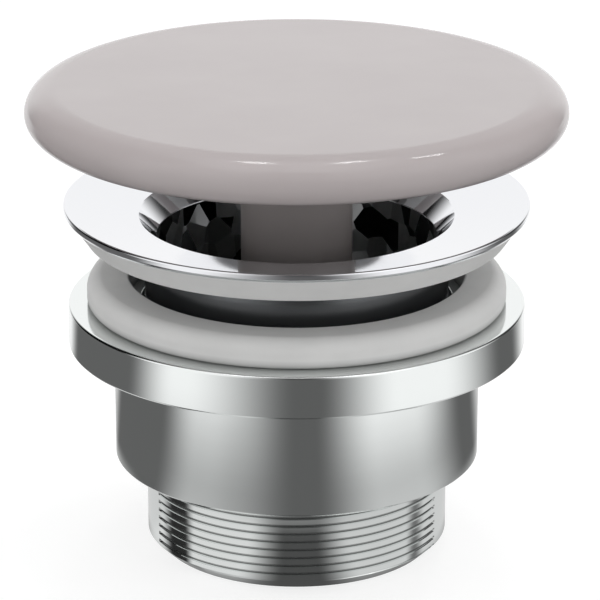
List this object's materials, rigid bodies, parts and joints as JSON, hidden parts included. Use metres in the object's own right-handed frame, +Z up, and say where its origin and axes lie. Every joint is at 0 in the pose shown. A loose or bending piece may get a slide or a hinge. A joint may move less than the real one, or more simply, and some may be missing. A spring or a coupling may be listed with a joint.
{
  "type": "basin waste",
  "caption": "Push-open basin waste: raised round ceramic cap on a sprung stem, chromed flange and tube, two grey seals and a chromed lower body with a threaded tail.",
  "frame": {"origin": "centre of the tail's lower end, on the axis", "axes": "+Z up along the axis, from the tail to the cap; the part is round, so X and Y are alike"},
  "size_m": [0.074, 0.074, 0.0661],
  "materials": {
    "glazed_ceramic": "glossy taupe glaze",
    "sleeve_plastic": "satin, in the cap's colour",
    "chrome": "bright chrome plate on brass",
    "grey_rubber": "matt light grey",
    "black_rubber": "matt black",
    "brass": "turned, bare",
    "steel": "bright stainless",
    "nylon": "moulded, natural white",
    "carrier_plastic": "moulded, grey",
    "foam": "closed-cell, black"
  },
  "bodies": {
    "tail_body": {"lower_body": "chrome", "body_o_ring": "black_rubber"},
    "clamp_gasket": {"lower_gasket": "grey_rubber"},
    "flange": {"flange_body": "chrome", "upper_seal": "grey_rubber", "mechanism_barrel": "chrome", "barrel_wiper": "black_rubber", "barrel_washer": "nylon", "barrel_locknut": "brass", "spring_plug": "brass", "cam_guide": "nylon", "return_spring": "steel"},
    "plug": {"plunger": "brass", "rotor": "nylon", "rotor_washer": "steel", "cap_locknut": "steel", "cap_insert": "brass", "cap_plate": "carrier_plastic", "cap_seal": "grey_rubber", "stem_sleeve": "sleeve_plastic", "cap_pad": "foam", "cap": "glazed_ceramic"}
  },
  "joints": [
    {"name": "clamp_turn", "type": "hinge", "parent": "tail_body", "child": "clamp_gasket", "pos_m": [0, 0, 0.0353], "axis": [0, 0, 1], "range_deg": [-1262, 1438]},
    {"name": "clamp_travel", "type": "slide", "parent": "clamp_gasket", "child": "flange", "axis": [0, 0, 1], "range_m": [-0.00528, 0.006]},
    {"name": "plug_press", "type": "slide", "parent": "flange", "child": "plug", "axis": [0, 0, 1], "range_m": [-0.0095, 0], "stiffness_N_per_m": 1080, "springref_m": 0.0056, "deforming": ["return_spring"]}
  ],
  "couplings": [
    {"joint": "clamp_travel", "follows": "clamp_turn", "m_per_rad": 0.00023873}
  ]
}
